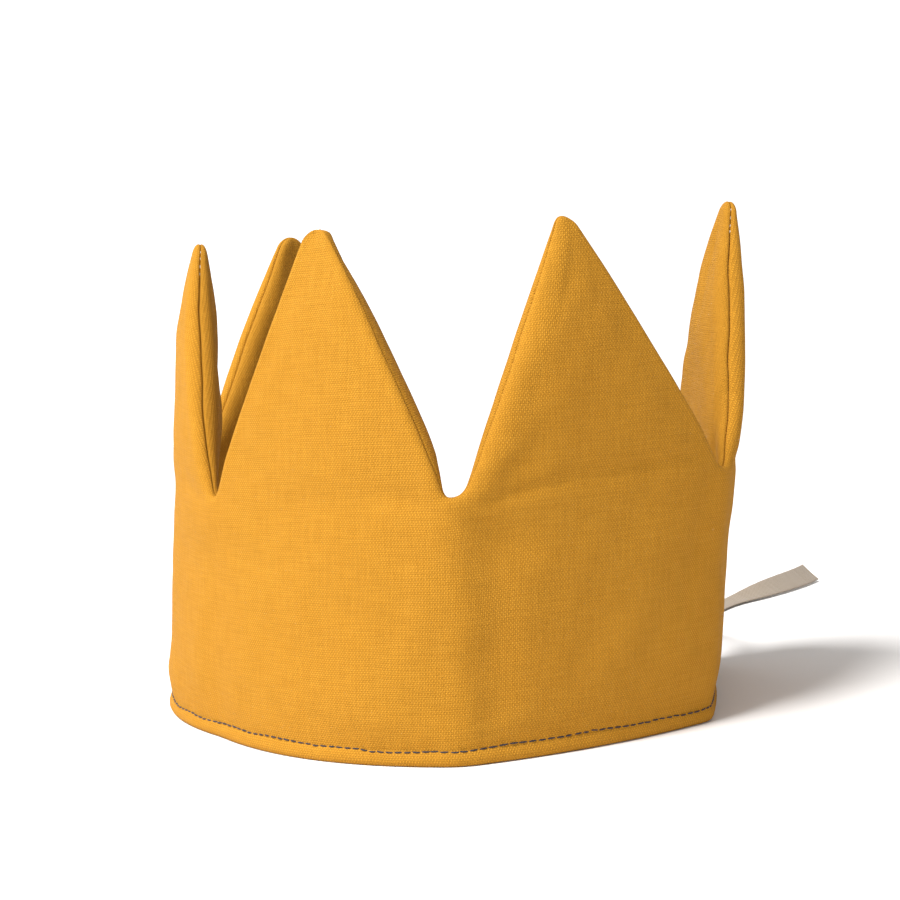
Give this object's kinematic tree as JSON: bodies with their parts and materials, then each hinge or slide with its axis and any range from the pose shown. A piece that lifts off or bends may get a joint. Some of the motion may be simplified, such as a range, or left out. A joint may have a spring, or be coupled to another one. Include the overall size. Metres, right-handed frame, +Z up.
{
  "type": "fabric dress-up crown",
  "caption": "Padded canvas play crown: a strip of pointed panels folded at the valleys into an open ring, with a topstitched hem and a cotton tie.",
  "frame": {"origin": "centre of the crown's footprint on the surface that it stands on, the tie left out", "axes": "+Z up, and the middle point of the five faces -Y; the open side with the tie faces +Y"},
  "size_m": [0.2115, 0.3591, 0.1671],
  "materials": {
    "outer_canvas": "plain-weave cotton canvas, mustard yellow, matt",
    "lining_canvas": "plain-weave cotton canvas, mustard yellow, matt",
    "wadding": "soft white polyester wadding",
    "hem_thread": "grey polyester sewing thread",
    "seam_thread": "cream polyester sewing thread",
    "cotton_tape": "natural cotton twill tape"
  },
  "bodies": {
    "front": {"outer_canvas_front": "outer_canvas", "lining_canvas_front": "lining_canvas", "wadding_front": "wadding", "hem_stitch_outer_front": "hem_thread", "hem_stitch_inner_front": "hem_thread", "seam_thread_front": "seam_thread"},
    "left": {"outer_canvas_left": "outer_canvas", "lining_canvas_left": "lining_canvas", "wadding_left": "wadding", "hem_stitch_outer_left": "hem_thread", "hem_stitch_inner_left": "hem_thread", "seam_thread_left": "seam_thread"},
    "rear_left": {"outer_canvas_rear_left": "outer_canvas", "lining_canvas_rear_left": "lining_canvas", "wadding_rear_left": "wadding", "hem_stitch_outer_rear_left": "hem_thread", "hem_stitch_inner_rear_left": "hem_thread", "seam_thread_rear_left": "seam_thread"},
    "right": {"outer_canvas_right": "outer_canvas", "lining_canvas_right": "lining_canvas", "wadding_right": "wadding", "hem_stitch_outer_right": "hem_thread", "hem_stitch_inner_right": "hem_thread", "seam_thread_right": "seam_thread"},
    "rear_right": {"outer_canvas_rear_right": "outer_canvas", "lining_canvas_rear_right": "lining_canvas", "wadding_rear_right": "wadding", "hem_stitch_outer_rear_right": "hem_thread", "hem_stitch_inner_rear_right": "hem_thread", "seam_thread_rear_right": "seam_thread", "tie_right": "cotton_tape"}
  },
  "joints": [
    {"name": "fold_left", "type": "hinge", "parent": "front", "child": "left", "pos_m": [-0.0366, -0.0764, 0], "axis": [0, 0, 1], "range_deg": [-5, 46]},
    {"name": "fold_rear_left", "type": "hinge", "parent": "left", "child": "rear_left", "pos_m": [-0.1026, -0.0081, 0], "axis": [0, 0, 1], "range_deg": [-5, 50]},
    {"name": "fold_right", "type": "hinge", "parent": "front", "child": "right", "pos_m": [0.0564, -0.0779, 0], "axis": [0, 0, -1], "range_deg": [-5, 62.5]},
    {"name": "fold_rear_right", "type": "hinge", "parent": "right", "child": "rear_right", "pos_m": [0.1023, 0.0079, 0], "axis": [0, 0, -1], "range_deg": [-5, 55]}
  ]
}
